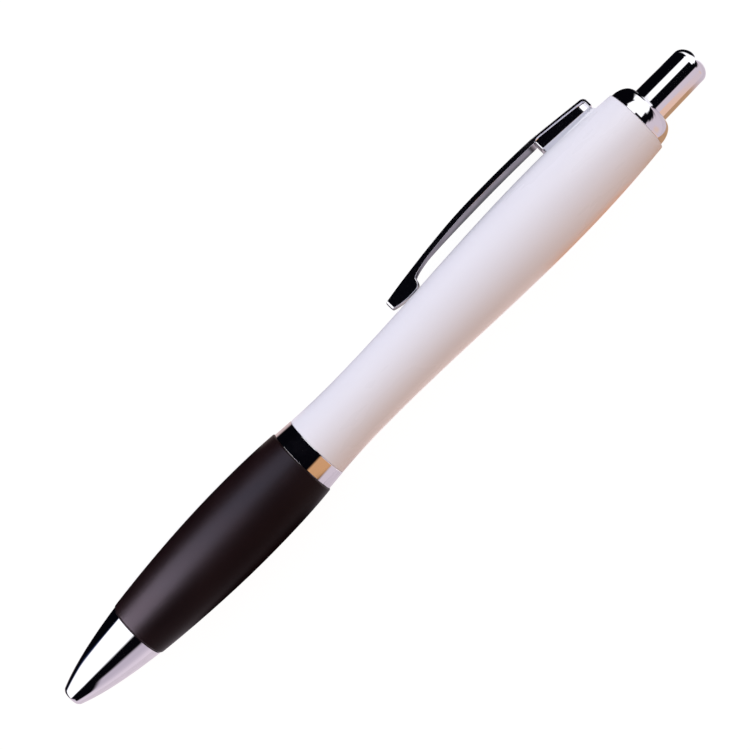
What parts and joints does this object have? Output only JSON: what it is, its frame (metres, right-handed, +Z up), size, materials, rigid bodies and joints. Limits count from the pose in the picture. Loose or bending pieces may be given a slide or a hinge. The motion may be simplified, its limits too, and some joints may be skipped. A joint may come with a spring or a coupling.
{
  "type": "ballpoint pen",
  "caption": "Push-button ballpoint pen with a black rubber grip, a waisted white barrel, and a chrome nose, ring, clip, collar and button.",
  "frame": {"origin": "middle of the pen's length, centred across its width, on the surface that it lies on", "axes": "+X along the pen from the nose to the button, +Z up, and the clip leans towards +Y and down to the surface"},
  "size_m": [0.14, 0.0166, 0.0134],
  "materials": {
    "chrome_plate": "polished chrome plate",
    "black_plastic": "moulded, satin",
    "black_rubber": "soft-touch, matt",
    "white_plastic": "lacquered, glossy",
    "natural_acetal": "moulded, waxy",
    "spring_steel": "drawn wire",
    "clear_plastic": "translucent tube",
    "blue_ink": "paste ink",
    "follower_grease": "grease",
    "nickel_silver": "turned",
    "carbide": "ground and polished"
  },
  "bodies": {
    "lower_section": {"nose_cone": "chrome_plate", "lower_barrel": "black_plastic", "grip_sleeve": "black_rubber", "return_spring": "spring_steel"},
    "ring": {"centre_ring": "chrome_plate"},
    "upper_section": {"upper_barrel": "white_plastic", "guide_tube": "natural_acetal", "top_collar": "chrome_plate"},
    "clip": {"clip": "chrome_plate"},
    "button": {"push_button": "chrome_plate", "plunger": "natural_acetal"},
    "rotor": {"cam_rotor": "natural_acetal"},
    "refill": {"refill_tube": "clear_plastic", "refill_ink": "blue_ink", "ink_follower": "follower_grease", "refill_point": "nickel_silver", "writing_ball": "carbide"}
  },
  "joints": [
    {"name": "barrel_travel", "type": "slide", "parent": "lower_section", "child": "ring", "axis": [1, 0, 0], "range_m": [0, 0.005]},
    {"name": "barrel_turn", "type": "hinge", "parent": "ring", "child": "upper_section", "pos_m": [-0.01455, -0.0016, 0.0067], "axis": [1, 0, 0], "range_deg": [0, 1800.5]},
    {"name": "clip_flex", "type": "hinge", "parent": "upper_section", "child": "clip", "pos_m": [0.0529, 0.00423, 0.00405], "axis": [0, -0.4134, -0.9106], "range_deg": [0, 4.5], "stiffness_Nm_per_rad": 2.5},
    {"name": "button_press", "type": "slide", "parent": "upper_section", "child": "button", "axis": [-1, 0, 0], "range_m": [0, 0.006], "stiffness_N_per_m": 200},
    {"name": "rotor_slide", "type": "slide", "parent": "upper_section", "child": "rotor", "axis": [-1, 0, 0], "range_m": [0, 0.006]},
    {"name": "refill_slide", "type": "slide", "parent": "lower_section", "child": "refill", "axis": [-1, 0, 0], "range_m": [0, 0.006], "deforming": ["return_spring"]}
  ],
  "couplings": [
    {"joint": "barrel_turn", "follows": "barrel_travel", "rad_per_m": 6283.2},
    {"joint": "rotor_slide", "follows": "button_press", "ratio": 1},
    {"joint": "refill_slide", "follows": "button_press", "ratio": 1}
  ]
}
